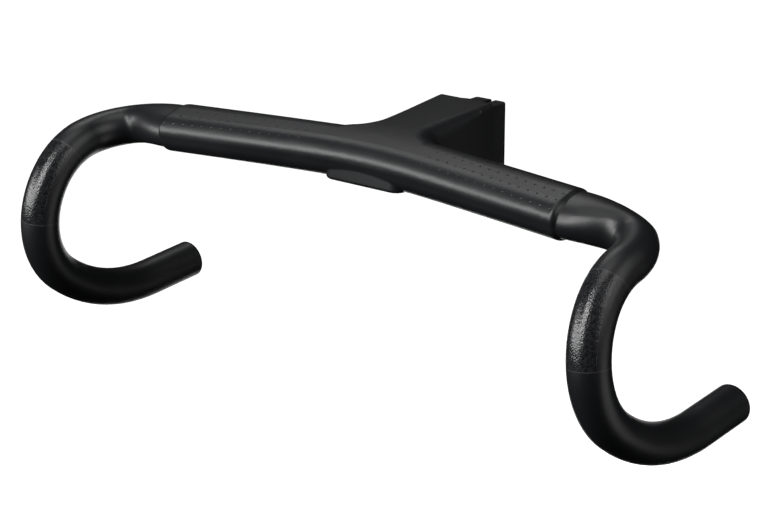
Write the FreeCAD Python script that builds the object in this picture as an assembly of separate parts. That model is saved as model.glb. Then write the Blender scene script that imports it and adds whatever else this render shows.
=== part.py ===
import FreeCAD, Part
import math
import os

# One-piece drop handlebar and stem, moulded in carbon fibre.
# Millimetres and degrees. The origin is on the steerer's axis, halfway up its clamp.
# +Z runs up that axis, -Y is the way the bicycle rides, +X is the rider's left.

# Bar
bar_width = 399.0
stem_reach = 76.0
bar_height = -4.0
tube_diameter = 23.8
carbon_wall = 2.4

# Wing-shaped tops, each ending in a planar step
wing_half_span = 148.0
wing_chord = 37.6
wing_thickness = 25.4
wing_tilt = 15.0
wing_sweep = 6.7
wing_forward = 7.5
wing_rise = 5.6
wing_front_bend = 500.0
wing_fullness = 1.3
nose_radius = 10.5
tail_top_radius = 11.5
tail_bottom_radius = 9.0
step_lip = 1.6
step_edge_radius = 3.5

# Drops: the corner, the ramp, three bends and the straight end
corner_radius = 37.8
neck_turn = 48.0
neck_start_share = 0.51
neck_end_share = 0.19
neck_fullness = 0.9
drop_flare = 5.0
ramp_fall = 10.2
ramp_straight = 0.6
drop_bend_radii = [43.3, 49.4, 114.0]
drop_bend_turns = [44.5, 87.6, 42.5]
drop_end_length = 37.5
hose_port_diameter = 8.5

# Stem
stem_half_width = 21.2
stem_taper = 1.5
stem_slope = 3.6
stem_top_rise = 2.0
stem_edge_radius = 3.5
stem_front_radius = 9.0
stem_root_radius = 9.0
stem_plate_rear = 11.5
crown_radius = 150.0
keel_radius = 66.0
keel_start = 10.0
keel_end = -22.0
hose_exit_width = 18.0
hose_exit_length = 16.0
hose_exit_gap = 5.0

# Split clamp on the steerer
clamp_height = 40.0
steerer_diameter = 28.6
steerer_clearance = 0.05
steerer_roof = 3.5
clamp_wall = 5.2
slot_offset = 10.0
slot_width = 3.5
lug_inner = -3.0
lug_wall = 2.4
lug_inner_radius = 2.0
lug_outer_radius = 4.5
lug_edge_radius = 0.8

# Clamp bolts, washers and threaded inserts
bolt_diameter = 5.0
bolt_head_diameter = 8.5
bolt_head_height = 5.0
bolt_key = 4.0
bolt_key_depth = 2.8
bolt_head_chamfer = 0.5
bolt_spread = 21.0
bolt_hole_clearance = 0.2
bolt_head_clearance = 0.35
bolt_thread_clearance = 0.1
bolt_wall = 1.1
washer_thickness = 1.0
insert_diameter = 7.5
insert_length = 8.5
insert_bond = 0.05

# Pad under the nose, with two inserts for a cycling computer's mount
pad_length = 58.0
pad_width = 15.0
pad_drop = 7.0
pad_back = -5.0
pad_edge_radius = 2.0
mount_spacing = 32.0
mount_thread_diameter = 4.0
mount_insert_diameter = 7.0
mount_insert_length = 7.0
mount_boss_wall = 2.0

# Room that a cutting solid reaches past what it cuts, and the distance that counts as touching
beyond = 1.0
close = 0.01

# How far a face's unit normal may be from an axis and still lie along it, and its least share of that axis
flat = 0.001
facing = 0.6

Vector = FreeCAD.Vector
AXIS_X = Vector(1, 0, 0)
AXIS_Y = Vector(0, 1, 0)
AXIS_Z = Vector(0, 0, 1)

# Sizes that follow
tube_radius = tube_diameter / 2
bar_half = bar_width / 2
tilt_sin = math.sin(math.radians(wing_tilt))
tilt_cos = math.cos(math.radians(wing_tilt))
wing_top = wing_rise + wing_thickness / 2
wing_bottom = wing_rise - wing_thickness / 2
clamp_top = clamp_height / 2
clamp_base = -clamp_height / 2
stem_top = clamp_top + stem_top_rise
bore_radius = steerer_diameter / 2 + steerer_clearance
barrel_radius = bore_radius + clamp_wall
bolt_head_room = bolt_head_diameter / 2 + bolt_head_clearance
bolt_back = bore_radius + bolt_wall + bolt_head_room
lug_rear = bolt_back + bolt_head_room + lug_wall
lug_outer = stem_half_width - stem_plate_rear * math.tan(math.radians(stem_taper))
bolt_seat = lug_inner - washer_thickness
slot_face = slot_offset + slot_width / 2
bolt_levels = {"upper": bolt_spread / 2, "lower": -bolt_spread / 2}
mount_sides = {"left": mount_spacing / 2, "right": -mount_spacing / 2}
pad_base = bar_height - pad_drop
pad_y = pad_back - stem_reach
roomy = 2 * bar_width


def chord_point(u, v):
    """Y and Z of a point u back along the tilted chord and v above it, from the corner's axis."""
    return (-stem_reach + u * tilt_cos - v * tilt_sin, bar_height + u * tilt_sin + v * tilt_cos)


def inset_polygon(points, radii, inset):
    """The polygon moved inwards by inset, with its corner radii changed to suit."""
    count = len(points)
    lines = []
    for i in range(count):
        (ax, ay), (bx, by) = points[i], points[(i + 1) % count]
        length = math.hypot(bx - ax, by - ay)
        dx, dy = (bx - ax) / length, (by - ay) / length
        lines.append((ax - dy * inset, ay + dx * inset, dx, dy))
    corners, rounds = [], []
    for i in range(count):
        px, py, dx, dy = lines[i - 1]
        qx, qy, ex, ey = lines[i]
        turn = dx * ey - dy * ex
        along = ((qx - px) * ey - (qy - py) * ex) / turn
        corners.append((px + dx * along, py + dy * along))
        change = -inset if turn > 0 else inset
        rounds.append(radii[i] + change if radii[i] else 0)
    return corners, rounds


def tangent_arc(before, corner, after, radius):
    """Start, middle and end of the arc that rounds a corner."""
    back = (before - corner).normalize()
    ahead = (after - corner).normalize()
    half = back.getAngle(ahead) / 2
    reach = radius / math.tan(half)
    middle = (back + ahead).normalize() * (radius / math.sin(half) - radius)
    return corner + back * reach, corner + middle, corner + ahead * reach


def rounded_face(points, radii):
    """A flat face whose corners are rounded by the radii given."""
    count = len(points)
    edges, ends = [], []
    for i in range(count):
        if radii[i]:
            start, middle, end = tangent_arc(points[i - 1], points[i], points[(i + 1) % count], radii[i])
            edges.append(Part.Arc(start, middle, end).toShape())
            ends.append((start, end))
        else:
            ends.append((points[i], points[i]))
    for i in range(count):
        edges.append(Part.makeLine(ends[i - 1][1], ends[i][0]))
    return Part.Face(Part.Wire(Part.__sortEdges__(edges)))


def stadium(length, width, base, height, centre):
    """An upright prism with a stadium's outline, length along X."""
    half_x, half_y, radius = length / 2, width / 2, width / 2
    straight = half_x - radius
    edges = []
    for side in (1, -1):
        start = Vector(-straight * side, -half_y * side, 0)
        bend = Vector(straight * side, -half_y * side, 0)
        end = Vector(straight * side, half_y * side, 0)
        edges.append(Part.makeLine(start, bend))
        edges.append(Part.Arc(bend, Vector(half_x * side, 0, 0), end).toShape())
    prism = Part.Face(Part.Wire(Part.__sortEdges__(edges))).extrude(AXIS_Z * height)
    prism.translate(Vector(centre[0], centre[1], base))
    return prism


def mirrored(shape):
    return shape.mirror(Vector(0, 0, 0), AXIS_X)


def plan_polygon():
    """The T of tops and stem, seen square to the tops' chord: X and distance back along the chord."""
    sweep = math.tan(math.radians(wing_sweep))
    taper = math.tan(math.radians(stem_taper))
    front = -wing_forward - wing_chord / 2
    rear = front + wing_chord
    steerer = stem_reach * tilt_cos + (stem_top - bar_height) * tilt_sin
    root_x = (stem_half_width + (steerer - rear - wing_half_span * sweep) * taper) / (1 - sweep * taper)
    root_u = rear + (wing_half_span - root_x) * sweep
    end_u = steerer + 2 * barrel_radius
    end_x = stem_half_width - 2 * barrel_radius * taper
    right = [(wing_half_span, front), (wing_half_span, rear), (root_x, root_u), (end_x, end_u)]
    left = [(-x, u) for x, u in reversed(right)]
    rounds = [0, 0, stem_root_radius, 0]
    middle = (0, front + wing_half_span * sweep)
    return [middle] + right + left, [wing_front_bend] + rounds + rounds[::-1]


def side_polygon():
    """The tops and stem seen from the side: Y and Z."""
    slope = math.tan(math.radians(stem_slope))
    ahead, behind = -2 * wing_chord, 2 * barrel_radius
    rear_top = stem_top + (behind - stem_plate_rear) * slope
    wing_y, wing_z = chord_point(ahead, wing_top)
    tilt = tilt_sin / tilt_cos
    crown_y = (rear_top - wing_z - behind * slope + wing_y * tilt) / (tilt - slope)
    crown_z = rear_top + (crown_y - behind) * slope
    points = [chord_point(ahead, wing_bottom), chord_point(keel_start, wing_bottom), (keel_end, clamp_base),
              (behind, clamp_base), (behind, rear_top), (crown_y, crown_z), (wing_y, wing_z)]
    return points, [0, keel_radius, keel_radius, 0, 0, crown_radius, 0]


def face_role(face):
    """Which side of the slab a face is on, by its normal."""
    u_low, u_high, v_low, v_high = face.ParameterRange
    normal = face.normalAt((u_low + u_high) / 2, (v_low + v_high) / 2)
    if normal.isEqual(AXIS_X, flat) or normal.isEqual(-AXIS_X, flat):
        return "step"
    if normal.isEqual(AXIS_Y, flat):
        return "rear"
    if abs(normal.z) > facing:
        return "top" if normal.z > 0 else "bottom"
    return "nose" if normal.y < -facing else "tail"


def edges_between(shape, role, other):
    """Middle points of the edges where two roles of face meet."""
    middles = []
    for edge in shape.Edges:
        roles = sorted(face_role(face) for face in shape.ancestorsOfType(edge, Part.Face))
        if roles == sorted([role, other]):
            middles.append(edge.valueAt((edge.FirstParameter + edge.LastParameter) / 2))
    return middles


def radius_at(vertex, radius, stem_x, rear):
    """An edge's rounding at a vertex. Within stem_x of the middle it tightens towards the rear."""
    if abs(vertex.X) >= stem_x:
        return radius
    return stem_edge_radius if rear - vertex.Y < close else stem_front_radius


def round_at(shape, middles, radius, stem_x):
    """The shape with the edges through these points rounded, those within stem_x by the stem's radii."""
    document = FreeCAD.newDocument("rounding")
    sharp = document.addObject("Part::Feature", "sharp")
    sharp.Shape = shape
    rounded = document.addObject("Part::Fillet", "rounded")
    rounded.Base = sharp
    rear = shape.BoundBox.YMax
    changing, others = [], []
    for number, edge in enumerate(shape.Edges, 1):
        middle = edge.valueAt((edge.FirstParameter + edge.LastParameter) / 2)
        if any(middle.distanceToPoint(point) < close for point in middles):
            sizes = [radius_at(vertex, radius, stem_x, rear) for vertex in edge.Vertexes]
            group = others if sizes[0] == sizes[-1] else changing
            group.append((number, sizes[0], sizes[-1]))
    rounded.Edges = changing + others
    document.recompute()
    result = rounded.Shape.copy()
    FreeCAD.closeDocument(document.Name)
    return result


def step_rims(slab):
    """The edges round the flat ends of the tops."""
    rims = []
    for edge in slab.Edges:
        box = edge.BoundBox
        if box.XLength < close and abs(abs(box.XMin) - wing_half_span) < close:
            rims.append(edge)
    return rims


def tops_and_stem(inset):
    """The T-shaped slab, inset all round for its hollow. Its long edges are rounded while it is squeezed
    from front to back, so that they stretch into the ovals that crown the tops."""
    stretch = FreeCAD.Matrix()
    stretch.scale(1, wing_fullness, 1)
    squeeze = stretch.inverse()
    chord = FreeCAD.Placement(Vector(0, -stem_reach, bar_height), FreeCAD.Rotation(AXIS_X, wing_tilt))
    points, rounds = inset_polygon(*plan_polygon(), inset)
    root_x = points[3][0]
    outline = [squeeze.multVec(chord.multVec(Vector(x, u, -roomy))) for x, u in points]
    height = squeeze.multVec(chord.Rotation.multVec(AXIS_Z * 2 * roomy))
    plan = rounded_face(outline, rounds).extrude(height)
    points, rounds = inset_polygon(*side_polygon(), inset)
    outline = [squeeze.multVec(Vector(-roomy, y, z)) for y, z in points]
    rounds = [radius / wing_fullness ** 2 for radius in rounds]
    side = rounded_face(outline, rounds).extrude(AXIS_X * 2 * roomy)
    rear = (stem_plate_rear - inset) / wing_fullness
    trim = Part.makeBox(2 * roomy, roomy, 2 * roomy, Vector(-roomy, rear - roomy, -roomy))
    slab = plan.common(side).common(trim).removeSplitter()
    rounding = [("tail", "top", tail_top_radius), ("tail", "bottom", tail_bottom_radius),
                ("nose", "top", nose_radius), ("nose", "bottom", nose_radius)]
    marks = [(edges_between(slab, role, other), radius - inset) for role, other, radius in rounding]
    for number, (middles, radius) in enumerate(marks):
        tightens = number == 0 and not inset
        slab = round_at(slab, middles, radius, root_x + stem_root_radius / 2 if tightens else 0)
    if not inset:
        slab = slab.makeFillet(step_edge_radius, step_rims(slab))
    return slab.transformGeometry(stretch)


def drop_direction(angle):
    """Unit vector in the flared plane of the drop, turned down from straight ahead."""
    flare = math.radians(drop_flare)
    turn = math.radians(angle)
    return Vector(math.sin(turn) * math.sin(flare), -math.cos(turn), -math.sin(turn) * math.cos(flare))


corner_point = Vector(bar_half, -stem_reach, bar_height)
ramp = drop_direction(ramp_fall)
corner_start, _, corner_end = tangent_arc(corner_point - AXIS_X, corner_point, corner_point + ramp,
                                          corner_radius)
corner_axis = AXIS_X.cross(ramp).normalize()
corner_centre = corner_start + corner_axis.cross(AXIS_X) * corner_radius
neck_end = corner_centre + FreeCAD.Rotation(corner_axis, neck_turn).multVec(corner_start - corner_centre)
ramp_end = corner_end + ramp * ramp_straight


def neck(inset):
    """From the oval foot of the step into the round corner, as one smooth skin."""
    foot_x = wing_half_span - (carbon_wall + beyond if inset else step_edge_radius)
    half_chord = wing_chord / 2 - step_lip - inset
    half_depth = wing_thickness / 2 - step_lip - inset
    foot = Vector(foot_x, *chord_point(-wing_forward, wing_rise))
    back = Vector(0, tilt_cos, tilt_sin)
    up = Vector(0, -tilt_sin, tilt_cos)
    bend = FreeCAD.Rotation(corner_axis, neck_turn)
    along = bend.multVec(AXIS_X)
    length = foot.distanceToPoint(neck_end)
    tube = tube_radius - inset
    tube_back, tube_up = bend.multVec(back) * tube, bend.multVec(up) * tube
    back, up = back * half_chord, up * half_depth
    circle = math.sqrt(0.5)
    rows = [(foot, back, up, neck_fullness),
            (foot + AXIS_X * length * neck_start_share, back, up, neck_fullness),
            (neck_end - along * length * neck_end_share, tube_back, tube_up, circle),
            (neck_end, tube_back, tube_up, circle)]
    corners = [(1, 0), (1, 1), (0, 1), (-1, 1), (-1, 0), (-1, -1), (0, -1), (1, -1), (1, 0)]
    poles, weights = [], []
    for centre, wide, high, weight in rows:
        poles.append([centre + wide * right + high * above for right, above in corners])
        weights.append([weight if right and above else 1.0 for right, above in corners])
    skin = Part.BSplineSurface()
    skin.buildFromPolesMultsKnots(poles, [4, 4], [3, 2, 2, 2, 3], [0, 1], list(range(5)),
                                  False, False, 3, 2, weights)
    wall = skin.toShape()
    caps = []
    for centre, normal in ((foot, AXIS_X), (neck_end, along)):
        rim = []
        for edge in wall.Edges:
            points = edge.discretize(5)
            if all(abs((point - centre).dot(normal)) < close for point in points):
                rim.append(edge)
        caps.append(Part.Face(Part.Wire(rim)))
    shell = Part.makeShell([wall] + caps)
    shell.sewShape()
    solid = Part.makeSolid(shell)
    if solid.Volume < 0:
        solid.reverse()
    return solid


def drop_path():
    """Straight and arc edges of the drop's centreline, from inside the corner to the open end."""
    left_over = math.degrees(AXIS_X.getAngle(ramp)) - neck_turn
    middle = corner_centre + FreeCAD.Rotation(corner_axis, left_over / 2).multVec(neck_end - corner_centre)
    edges = [Part.Arc(neck_end, middle, corner_end).toShape(), Part.makeLine(corner_end, ramp_end)]
    angle = ramp_fall
    place = ramp_end
    for radius, turn in zip(drop_bend_radii, drop_bend_turns):
        centre = place + drop_direction(angle + 90) * radius
        middle = centre - drop_direction(angle + turn / 2 + 90) * radius
        angle += turn
        end = centre - drop_direction(angle + 90) * radius
        edges.append(Part.Arc(place, middle, end).toShape())
        place = end
    edges.append(Part.makeLine(place, place + drop_direction(angle) * drop_end_length))
    return edges


def tube_along(edges, radius, run_on):
    """A round bar along straight and arc edges, its last straight run on by run_on."""
    pieces = []
    for number, edge in enumerate(edges):
        start = edge.valueAt(edge.FirstParameter)
        heading = edge.tangentAt(edge.FirstParameter)
        disc = Part.Face(Part.Wire(Part.makeCircle(radius, start, heading)))
        if isinstance(edge.Curve, Part.Line):
            length = edge.Length + (run_on if number == len(edges) - 1 else 0)
            pieces.append(disc.extrude(heading * length))
        else:
            turn = math.degrees(edge.Length / edge.Curve.Radius)
            pieces.append(disc.revolve(edge.Curve.Center, edge.Curve.Axis, turn))
    return pieces[0].multiFuse(pieces[1:]).removeSplitter()


def hose_port():
    """Hole through the underside of the ramp, behind the lever's seat."""
    down = drop_direction(ramp_fall + 90)
    return Part.makeCylinder(hose_port_diameter / 2, 2 * tube_radius, ramp_end, down)


def upright_prism(points, radii, base, height):
    return rounded_face([Vector(x, y, base) for x, y in points], radii).extrude(AXIS_Z * height)


def clamp_block():
    """Barrel round the steerer with two lugs behind it, offset to the rider's left."""
    barrel = Part.makeCylinder(barrel_radius, clamp_height, Vector(0, 0, clamp_base))
    outline = [(lug_inner, 0), (lug_outer, 0), (lug_outer, lug_rear), (lug_inner, lug_rear)]
    lugs = upright_prism(outline, [0, 0, lug_outer_radius, lug_inner_radius], clamp_base, clamp_height)
    rims = []
    for edge in lugs.Edges:
        level = edge.BoundBox.ZLength < close
        if level and edge.BoundBox.YMax > lug_outer_radius:
            rims.append(edge)
    lugs = lugs.makeFillet(lug_edge_radius, rims)
    return barrel.fuse(lugs)


def clamp_cuts():
    """The steerer's bore, the slot, and the holes for the clamp bolts and their inserts."""
    bore_height = clamp_height - steerer_roof
    cuts = [Part.makeCylinder(bore_radius, bore_height + beyond, Vector(0, 0, clamp_base - beyond)),
            Part.makeBox(slot_width, lug_rear, clamp_height + 2 * beyond,
                         Vector(slot_offset - slot_width / 2, bore_radius / 2, clamp_base - beyond))]
    for level in bolt_levels.values():
        seat = Vector(lug_inner, bolt_back, level)
        hole = bolt_diameter / 2 + bolt_hole_clearance
        cuts.append(Part.makeCylinder(hole, slot_face - lug_inner, seat, AXIS_X))
        cuts.append(Part.makeCylinder(bolt_head_room, 2 * barrel_radius, seat, -AXIS_X))
        cuts.append(Part.makeCylinder(insert_diameter / 2 + insert_bond, insert_length,
                                      Vector(slot_face, bolt_back, level), AXIS_X))
    return cuts


def mount_pad():
    """Shallow pad under the middle of the tops."""
    depth = wing_thickness / 2
    pad = stadium(pad_length, pad_width, pad_base, depth, (0, pad_y))
    rims = [edge for edge in pad.Edges if edge.BoundBox.ZMax < pad_base + close]
    return pad.makeFillet(pad_edge_radius, rims)


def mount_holes(radius, length):
    return [Part.makeCylinder(radius, length, Vector(x, pad_y, pad_base)) for x in mount_sides.values()]


def hollow():
    """Everything that is air inside the moulding."""
    cavity = tops_and_stem(carbon_wall)
    barrel = Part.makeCylinder(barrel_radius, 2 * roomy, Vector(0, 0, -roomy))
    behind = Part.makeBox(2 * roomy, roomy, 2 * roomy, Vector(-roomy, -barrel_radius / 2, -roomy))
    bosses = mount_holes(mount_insert_diameter / 2 + mount_boss_wall, mount_insert_length + mount_boss_wall)
    cavity = cavity.cut([barrel, behind] + bosses)
    drop = tube_along(drop_path(), tube_radius - carbon_wall, beyond)
    side = neck(carbon_wall)
    port = hose_port()
    exit_y = -barrel_radius - hose_exit_gap - hose_exit_length / 2
    hose_exit = stadium(hose_exit_width, hose_exit_length, clamp_base - beyond, clamp_top, (0, exit_y))
    return [cavity, hose_exit, side, drop, port, mirrored(side), mirrored(drop), mirrored(port)]


def bar_stem_body():
    """The whole moulding."""
    tops = tops_and_stem(0)
    side = neck(0)
    drop = tube_along(drop_path(), tube_radius, 0)
    body = tops.multiFuse([clamp_block(), mount_pad(), side, drop, mirrored(side), mirrored(drop)])
    body = body.removeSplitter().cut(hollow())
    holes = mount_holes(mount_insert_diameter / 2 + insert_bond, mount_insert_length)
    return body.cut(clamp_cuts() + holes).removeSplitter()


def clamp_bolt(level):
    """Socket-head bolt, put in from the rider's right."""
    seat = Vector(bolt_seat, bolt_back, level)
    top = seat - AXIS_X * bolt_head_height
    head = Part.makeCylinder(bolt_head_diameter / 2, bolt_head_height, top, AXIS_X)
    rim = [edge for edge in head.Edges if edge.BoundBox.XMax < top.x + close]
    head = head.makeChamfer(bolt_head_chamfer, rim)
    radius = bolt_diameter / 2 - bolt_thread_clearance
    shank = Part.makeCylinder(radius, slot_face + insert_length - bolt_seat, seat, AXIS_X)
    corner = Vector(0, bolt_key / math.sqrt(3), 0)
    turns = [FreeCAD.Rotation(AXIS_X, 60 * step) for step in range(7)]
    key = Part.Face(Part.makePolygon([top + turn.multVec(corner) for turn in turns]))
    return head.fuse(shank).cut(key.extrude(AXIS_X * bolt_key_depth)).removeSplitter()


def ring(outer, inner, length, base, axis):
    return Part.makeCylinder(outer, length, base, axis).cut(Part.makeCylinder(inner, length, base, axis))


def build():
    parts = {"bar_stem_body": bar_stem_body()}
    hole = bolt_diameter / 2 + bolt_hole_clearance
    for name, level in bolt_levels.items():
        parts["clamp_bolt_" + name] = clamp_bolt(level)
        seat = Vector(bolt_seat, bolt_back, level)
        parts["clamp_washer_" + name] = ring(bolt_head_diameter / 2, hole, washer_thickness, seat, AXIS_X)
        mouth = Vector(slot_face, bolt_back, level)
        parts["clamp_insert_" + name] = ring(insert_diameter / 2, bolt_diameter / 2, insert_length,
                                             mouth, AXIS_X)
    outer, thread = mount_insert_diameter / 2, mount_thread_diameter / 2
    for name, x in mount_sides.items():
        base = Vector(x, pad_y, pad_base)
        parts["mount_insert_" + name] = ring(outer, thread, mount_insert_length, base, AXIS_Z)
    return parts


os.makedirs("parts", exist_ok=True)
for node, shape in build().items():
    shape.exportStep("parts/%s.step" % node)
    print(node, "valid", shape.isValid(), "solids", len(shape.Solids), "volume", round(shape.Volume))
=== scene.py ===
import math

import bpy
from mathutils import Euler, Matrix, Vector


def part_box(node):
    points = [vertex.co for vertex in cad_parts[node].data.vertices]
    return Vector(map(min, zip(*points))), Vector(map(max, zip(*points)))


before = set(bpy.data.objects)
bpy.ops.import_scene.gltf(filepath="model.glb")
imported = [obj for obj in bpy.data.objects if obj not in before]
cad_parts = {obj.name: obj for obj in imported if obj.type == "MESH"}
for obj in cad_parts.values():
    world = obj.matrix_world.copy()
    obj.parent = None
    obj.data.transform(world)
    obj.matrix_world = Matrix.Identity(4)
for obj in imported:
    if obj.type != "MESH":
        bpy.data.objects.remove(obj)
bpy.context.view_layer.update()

# Millimetres and degrees in the CAD's frame: the tops' tilted chord and the drops' flared plane.
STEM_REACH = 76.0
BAR_HEIGHT = -4.0
BAR_HALF = 199.5
WING_TILT = 15.0
DROP_FLARE = 5.0
MM = 0.001

# A square grid of dimples on each top: its first dimple's place across the bar and back along the chord.
DIMPLE_FIRST = (46.0, -7.9)
DIMPLE_PITCH = 6.93
DIMPLE_GRID = (15, 4)
DIMPLE_SWEEP = 8.3
DIMPLE_DIAMETER = 1.6
DIMPLE_DEPTH = 0.22
# The share of a dimple's radius that is at its full depth.
DIMPLE_BOTTOM = 0.2

# The lever's seat on each drop: a point near the tube's middle at both ends, and the angle that its end line
# faces, both matched to the photograph, and the gritted strip on it.
SEAT_START = ((200.6, -128.9, -16.9), 36.0)
SEAT_END = ((204.0, -150.0, -55.4), 88.6)
SEAT_LINE = 0.5
GRIT_HALF_WIDTH = 9.7
GRIT_FRONT = 3.0
TUBE_DIAMETER = 23.8
# Dimples lie only between these heights above the chord, on the upper face of the tops.
DIMPLE_HEIGHTS = (TUBE_DIAMETER / 3, BAR_HALF)

# Sizes of the finishes' patterns, in millimetres.
PEEL_SIZE = 1.5
PEEL_HEIGHT = 0.01
CLOUD_SIZE = 40.0
LACQUER_FILLET = 1.5
FLOOR_GRAIN = 1.0
# Turning marks of 0.1 mm and grit of 0.25 mm would be lost between the picture's pixels.
# Both are drawn four times as coarse.
TURNING_PITCH = 0.4
GRIT_SIZE = 1.0
GRIT_HEIGHT = 0.12

# How dull the lacquer is, from the clearest to the dullest of its clouds, and how dull its grit is.
CLOUD_RANGE = (0.3, 0.7)
LACQUER_ROUGHNESS = (0.36, 0.42)
GRIT_ROUGHNESS = 0.2
LACQUER_IOR = 1.5
# Rays that find the lacquer's fillet at each point.
FILLET_SAMPLES = 6
# How far the dullness of turned metal swings to either side from ring to ring.
RING_ROUGHNESS = 0.05

# The studio in metres, and the camera that was fitted to the photograph.
FLOOR_REACH = 60.0
FLOOR_DROP = 0.9
FLOOR_ROUGHNESS = 0.9
BOX_DISTANCE = 2.0
ROOM_LIGHT = 0.008
CAMERA_PLACE = (0.8544, -1.1131, 0.3763)
CAMERA_ELEVATION = 18.0
CAMERA_AZIMUTH = 39.31
CAMERA_LENS = 114.1
CAMERA_SENSOR = 36.0
CAMERA_REACH = 200.0

# The Mix node's sockets share their names, so they are numbered: colours and their result, then values.
COLOUR_A, COLOUR_B, MIXED_COLOUR = 6, 7, 2
VALUE_A, VALUE_B, MIXED_VALUE = 2, 3, 0


def linear(code):
    """An sRGB hex colour as a linear RGBA value."""
    shades = [int(code[i:i + 2], 16) / 255 for i in (1, 3, 5)]
    return [s / 12.92 if s <= 0.04045 else ((s + 0.055) / 1.055) ** 2.4 for s in shades] + [1.0]


def add(tree, kind, inputs, **settings):
    """A shader node with its settings. Each input gets a value or another node's output."""
    node = tree.nodes.new("ShaderNode" + kind)
    for name, value in settings.items():
        setattr(node, name, value)
    for socket, source in inputs.items():
        if isinstance(source, bpy.types.NodeSocket):
            tree.links.new(source, node.inputs[socket])
        else:
            node.inputs[socket].default_value = source
    return node.outputs


def new_material(name):
    """A material with an empty node tree."""
    material = bpy.data.materials.new(name)
    material.use_nodes = True
    material.node_tree.nodes.clear()
    return material, material.node_tree


def chord_point(x, back):
    """A point on the tops' chord, across the bar and back along it."""
    tilt = math.radians(WING_TILT)
    return Vector((x, back * math.cos(tilt) - STEM_REACH, back * math.sin(tilt) + BAR_HEIGHT))


def drop_direction(angle):
    """Unit vector in the flared plane of the drop, turned down from straight ahead."""
    turn, flare = math.radians(angle), math.radians(DROP_FLARE)
    return Vector((math.sin(turn) * math.sin(flare), -math.cos(turn), -math.sin(turn) * math.cos(flare)))


def distance_along(tree, place, start, axis):
    """How far a place lies past a start along an axis."""
    moved = add(tree, "VectorMath", {0: place, 1: start}, operation="SUBTRACT")[0]
    return add(tree, "VectorMath", {0: moved, 1: axis}, operation="DOT_PRODUCT")["Value"]


def dimples(tree, folded):
    """One in the middle of each dimple, fading to nothing at its rim."""
    tilt = math.radians(WING_TILT)
    start = chord_point(*DIMPLE_FIRST)
    back = Vector((math.tan(math.radians(DIMPLE_SWEEP)), math.cos(tilt), math.sin(tilt)))
    up = Vector((0, -math.sin(tilt), math.cos(tilt)))
    column = distance_along(tree, folded, start, Vector((1, 0, 0)) / DIMPLE_PITCH)
    row = distance_along(tree, folded, start, back / DIMPLE_PITCH)
    height = distance_along(tree, folded, start, up)
    cell = add(tree, "CombineXYZ", {"X": column, "Y": row, "Z": height})[0]
    # The grid starts and ends half a cell past its outer dimples.
    lowest, highest = DIMPLE_HEIGHTS
    last = [count - 0.5 for count in DIMPLE_GRID]
    held = add(tree, "VectorMath", {0: cell, 1: (-0.5, -0.5, lowest)}, operation="MAXIMUM")[0]
    held = add(tree, "VectorMath", {0: held, 1: (*last, highest)}, operation="MINIMUM")[0]
    outside = add(tree, "VectorMath", {0: cell, 1: held}, operation="DISTANCE")["Value"]
    flat = add(tree, "VectorMath", {0: cell, 1: (1, 1, 0)}, operation="MULTIPLY")[0]
    middle = add(tree, "VectorMath", {0: flat, 1: (0.5, 0.5, 0.5)}, operation="ADD")[0]
    share = add(tree, "VectorMath", {0: middle}, operation="FRACTION")[0]
    away = add(tree, "VectorMath", {0: share, 1: (0.5, 0.5, 0.5)}, operation="DISTANCE")["Value"]
    away = add(tree, "Math", {0: away, 1: outside}, operation="ADD")[0]
    rim = DIMPLE_DIAMETER / 2 / DIMPLE_PITCH
    return add(tree, "MapRange", {"Value": away, "From Min": rim, "From Max": rim * DIMPLE_BOTTOM},
               interpolation_type="SMOOTHSTEP")[0]


def lever_seat(tree, folded):
    """One on the gritted strip, and one on the thin lines that end the seat."""
    (first, first_turn), (last, last_turn) = SEAT_START, SEAT_END
    chord = Vector(last) - Vector(first)
    side = drop_direction(0).cross(drop_direction(90))
    front = chord.cross(side).normalized()
    past_first = distance_along(tree, folded, first, drop_direction(first_turn))
    past_last = distance_along(tree, folded, last, drop_direction(last_turn))
    aside = distance_along(tree, folded, first, side)
    ahead = distance_along(tree, folded, first, front)
    near = add(tree, "Math", {0: ahead, 1: -TUBE_DIAMETER}, operation="GREATER_THAN")[0]
    grit = add(tree, "Math", {0: ahead, 1: GRIT_FRONT}, operation="GREATER_THAN")[0]
    limits = [(past_first, 0.0, "GREATER_THAN"), (past_last, 0.0, "LESS_THAN"),
              (aside, GRIT_HALF_WIDTH, "LESS_THAN"), (aside, -GRIT_HALF_WIDTH, "GREATER_THAN")]
    for distance, limit, operation in limits:
        within = add(tree, "Math", {0: distance, 1: limit}, operation=operation)[0]
        grit = add(tree, "Math", {0: grit, 1: within}, operation="MULTIPLY")[0]
    on_first, on_last = [add(tree, "Math", {0: past, 1: 0.0, 2: SEAT_LINE / 2}, operation="COMPARE")[0]
                         for past in (past_first, past_last)]
    lines = add(tree, "Math", {0: on_first, 1: on_last}, operation="MAXIMUM")[0]
    return grit, add(tree, "Math", {0: lines, 1: near}, operation="MULTIPLY")[0]


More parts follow.
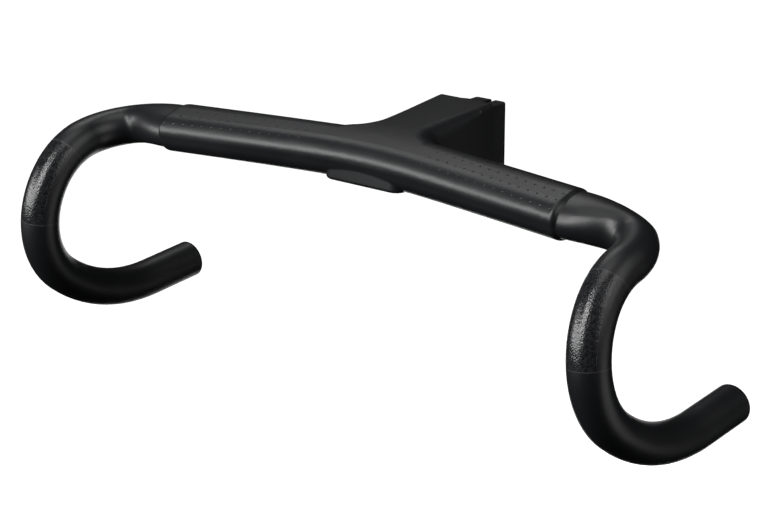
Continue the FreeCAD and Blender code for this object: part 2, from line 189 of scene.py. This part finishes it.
def satin_carbon():
    """Carbon fibre pressed in a mould and sprayed with satin black lacquer.

    It is nearly black, with a soft broad highlight, a faint orange peel and slow clouds in its sheen. Its
    dimples are darkened with painted shade.
    The lever's seat has a glossier coat of grit between two thin lighter lines; its grains are coloured dark
    and pale at random as painted shade and painted glints.
    """
    material, tree = new_material("moulded_carbon_satin_lacquer")
    place = add(tree, "TexCoord", {})["Object"]
    in_mm = add(tree, "VectorMath", {0: place, "Scale": 1 / MM}, operation="SCALE")[0]
    x, y, z = add(tree, "SeparateXYZ", {"Vector": in_mm})
    across = add(tree, "Math", {0: x}, operation="ABSOLUTE")[0]
    folded = add(tree, "CombineXYZ", {"X": across, "Y": y, "Z": z})[0]
    dimple = dimples(tree, folded)
    gritted, lines = lever_seat(tree, folded)
    peel = add(tree, "TexNoise", {"Vector": in_mm, "Scale": 1 / PEEL_SIZE, "Detail": 2.0})["Fac"]
    clouds = add(tree, "TexNoise", {"Vector": in_mm, "Scale": 1 / CLOUD_SIZE, "Detail": 3.0})["Fac"]
    grains = add(tree, "TexVoronoi", {"Vector": in_mm, "Scale": 1 / GRIT_SIZE})

    shade = add(tree, "Mix", {"Factor": clouds, COLOUR_A: linear("#131416"), COLOUR_B: linear("#191a1c")},
                data_type="RGBA")[MIXED_COLOUR]
    # Darker in the middle of each dimple: painted shade in the recess, added to the dimple's bump.
    shade = add(tree, "Mix", {"Factor": dimple, COLOUR_A: shade, COLOUR_B: linear("#0b0b0c")},
                data_type="RGBA")[MIXED_COLOUR]
    # Dark and pale grains on the grit: painted shade and painted glints of grains catching light, chosen at
    # random per grain.
    painted_grit_glint_colours = {"Factor": grains["Color"], COLOUR_A: linear("#09090a"), COLOUR_B: linear("#2c2d2f")}
    painted_grit_glints = add(tree, "Mix", painted_grit_glint_colours, data_type="RGBA")[MIXED_COLOUR]
    shade = add(tree, "Mix", {"Factor": gritted, COLOUR_A: shade, COLOUR_B: painted_grit_glints},
                data_type="RGBA")[MIXED_COLOUR]
    shade = add(tree, "Mix", {"Factor": lines, COLOUR_A: shade, COLOUR_B: linear("#38393b")},
                data_type="RGBA")[MIXED_COLOUR]
    least_cloud, most_cloud = CLOUD_RANGE
    clearest, dullest = LACQUER_ROUGHNESS
    sheen = add(tree, "MapRange", {"Value": clouds, "From Min": least_cloud, "From Max": most_cloud,
                                   "To Min": clearest, "To Max": dullest})[0]
    rough = add(tree, "Mix", {"Factor": gritted, VALUE_A: sheen, VALUE_B: GRIT_ROUGHNESS})[MIXED_VALUE]

    pressed = add(tree, "Math", {0: dimple, 1: -DIMPLE_DEPTH}, operation="MULTIPLY")[0]
    height = add(tree, "Math", {0: peel, 1: PEEL_HEIGHT, 2: pressed}, operation="MULTIPLY_ADD")[0]
    proud = add(tree, "Math", {0: gritted, 1: -GRIT_HEIGHT}, operation="MULTIPLY")[0]
    height = add(tree, "Math", {0: grains["Distance"], 1: proud, 2: height}, operation="MULTIPLY_ADD")[0]
    eased = add(tree, "Bevel", {"Radius": LACQUER_FILLET * MM}, samples=FILLET_SAMPLES)["Normal"]
    bump = add(tree, "Bump", {"Height": height, "Distance": MM, "Normal": eased})[0]
    shader = add(tree, "BsdfPrincipled", {"Base Color": shade, "Roughness": rough, "IOR": LACQUER_IOR,
                                          "Normal": bump})
    add(tree, "OutputMaterial", {"Surface": shader["BSDF"]})
    return material


def turned_metal(name, node, axis, dark, light, dull):
    """Metal turned on a lathe: a clear metallic sheen, broken by the fine rings that the tool leaves."""
    material, tree = new_material(name)
    low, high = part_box(node)
    size = [(b - a) / MM for a, b in zip(low, high)]
    place = add(tree, "TexCoord", {})["Generated"]
    centred = add(tree, "VectorMath", {0: place, 1: (0.5, 0.5, 0.5)}, operation="SUBTRACT")[0]
    in_mm = add(tree, "VectorMath", {0: centred, 1: size}, operation="MULTIPLY")[0]
    # One ring of the wave is a tenth of pi at a scale of one.
    scale = math.pi / 10 / TURNING_PITCH
    rings = add(tree, "TexWave", {"Vector": in_mm, "Scale": scale, "Distortion": 0.5},
                wave_type="RINGS", rings_direction=axis)["Fac"]
    shade = add(tree, "Mix", {"Factor": rings, COLOUR_A: linear(dark), COLOUR_B: linear(light)},
                data_type="RGBA")[MIXED_COLOUR]
    rough = add(tree, "MapRange", {"Value": rings, "To Min": dull - RING_ROUGHNESS,
                                   "To Max": dull + RING_ROUGHNESS})[0]
    shader = add(tree, "BsdfPrincipled", {"Base Color": shade, "Roughness": rough, "Metallic": 1.0})
    add(tree, "OutputMaterial", {"Surface": shader["BSDF"]})
    return material


# Bolts and washers have a black oxide skin, dark and a little oily. The inserts are bare and pale.
BLACK_OXIDE = ("#242426", "#333336")
BARE_ALUMINIUM = ("#c4c5c8", "#d9dadc")
finishes = {
    "bar_stem_body": satin_carbon(),
    "clamp_bolt": turned_metal("steel_turned_black_oxide", "clamp_bolt_upper", "X", *BLACK_OXIDE, 0.35),
    "clamp_washer": turned_metal("steel_washer_black_oxide", "clamp_washer_upper", "X", *BLACK_OXIDE, 0.4),
    "clamp_insert": turned_metal("aluminium_turned", "clamp_insert_upper", "X", *BARE_ALUMINIUM, 0.3),
    "mount_insert": turned_metal("aluminium_turned_upright", "mount_insert_left", "Z", *BARE_ALUMINIUM, 0.3),
}
for name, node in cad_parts.items():
    finish = next(finishes[kind] for kind in finishes if name.startswith(kind))
    node.data.materials.clear()
    node.data.materials.append(finish)


def light_table():
    """A pale floor of opal acrylic lit from below: even and white, with no glare and no shadow."""
    corners = [(FLOOR_REACH * x, FLOOR_REACH * y, 0) for x, y in ((-1, -1), (1, -1), (1, 1), (-1, 1))]
    mesh = bpy.data.meshes.new("floor")
    mesh.from_pydata(corners, [], [(0, 1, 2, 3)])
    floor = bpy.data.objects.new("floor", mesh)
    floor.location.z = -FLOOR_DROP
    floor.visible_diffuse = False
    floor.visible_glossy = False
    bpy.context.scene.collection.objects.link(floor)
    material, tree = new_material("opal_acrylic_lit_from_below")
    place = add(tree, "TexCoord", {})["Object"]
    grain = add(tree, "TexNoise", {"Vector": place, "Scale": 1 / (FLOOR_GRAIN * MM)})["Fac"]
    shade = add(tree, "Mix", {"Factor": grain, COLOUR_A: linear("#f6f6f6"), COLOUR_B: linear("#fafafa")},
                data_type="RGBA")[MIXED_COLOUR]
    shader = add(tree, "BsdfPrincipled", {"Base Color": shade, "Roughness": FLOOR_ROUGHNESS,
                                          "Emission Strength": 1.0, "Emission Color": linear("#ffffff")})
    add(tree, "OutputMaterial", {"Surface": shader["BSDF"]})
    mesh.materials.append(material)
    return floor


light_table()


def soft_box(name, azimuth, elevation, size, power):
    """A rectangular soft light that faces the bar.

    Azimuth turns from straight ahead to the rider's left. Sizes are in metres and power in watts.
    """
    turn, rise = math.radians(azimuth), math.radians(elevation)
    toward = Vector((math.cos(rise) * math.sin(turn), -math.cos(rise) * math.cos(turn), math.sin(rise)))
    lamp = bpy.data.lights.new(name, "AREA")
    lamp.shape = "RECTANGLE"
    lamp.size, lamp.size_y = size
    lamp.energy = power
    box = bpy.data.objects.new(name, lamp)
    box.location = Vector((0, -STEM_REACH * MM, 0)) + toward * BOX_DISTANCE
    box.rotation_euler = toward.to_track_quat("Z", "Y").to_euler()
    bpy.context.scene.collection.objects.link(box)


soft_box("overhead_soft_box", 0, 85, (1.2, 1.2), 7)
soft_box("front_key_box", -12, 34, (0.45, 1.4), 30)
soft_box("front_strip_box", -40, 8, (2.0, 0.7), 32)
soft_box("left_soft_box", 95, 32, (1.6, 1.6), 14)
soft_box("rear_soft_box", 232, 50, (1.0, 0.6), 5)
soft_box("low_fill_box", 110, -20, (1.2, 1.2), 4)
soft_box("low_back_box", 210, -25, (1.2, 1.2), 9)

world = bpy.data.worlds.new("studio")
bpy.context.scene.world = world
world.use_nodes = True
background = world.node_tree.nodes["Background"]
background.inputs["Color"].default_value = linear("#ffffff")
background.inputs["Strength"].default_value = ROOM_LIGHT
bpy.context.scene.view_settings.view_transform = "Standard"

view = bpy.data.cameras.new("camera")
view.sensor_width = CAMERA_SENSOR
view.lens = CAMERA_LENS
view.clip_end = CAMERA_REACH
camera = bpy.data.objects.new("camera", view)
camera.location = CAMERA_PLACE
camera.rotation_euler = Euler((math.radians(90 - CAMERA_ELEVATION), 0, math.radians(CAMERA_AZIMUTH)))
bpy.context.scene.collection.objects.link(camera)
bpy.context.scene.camera = camera
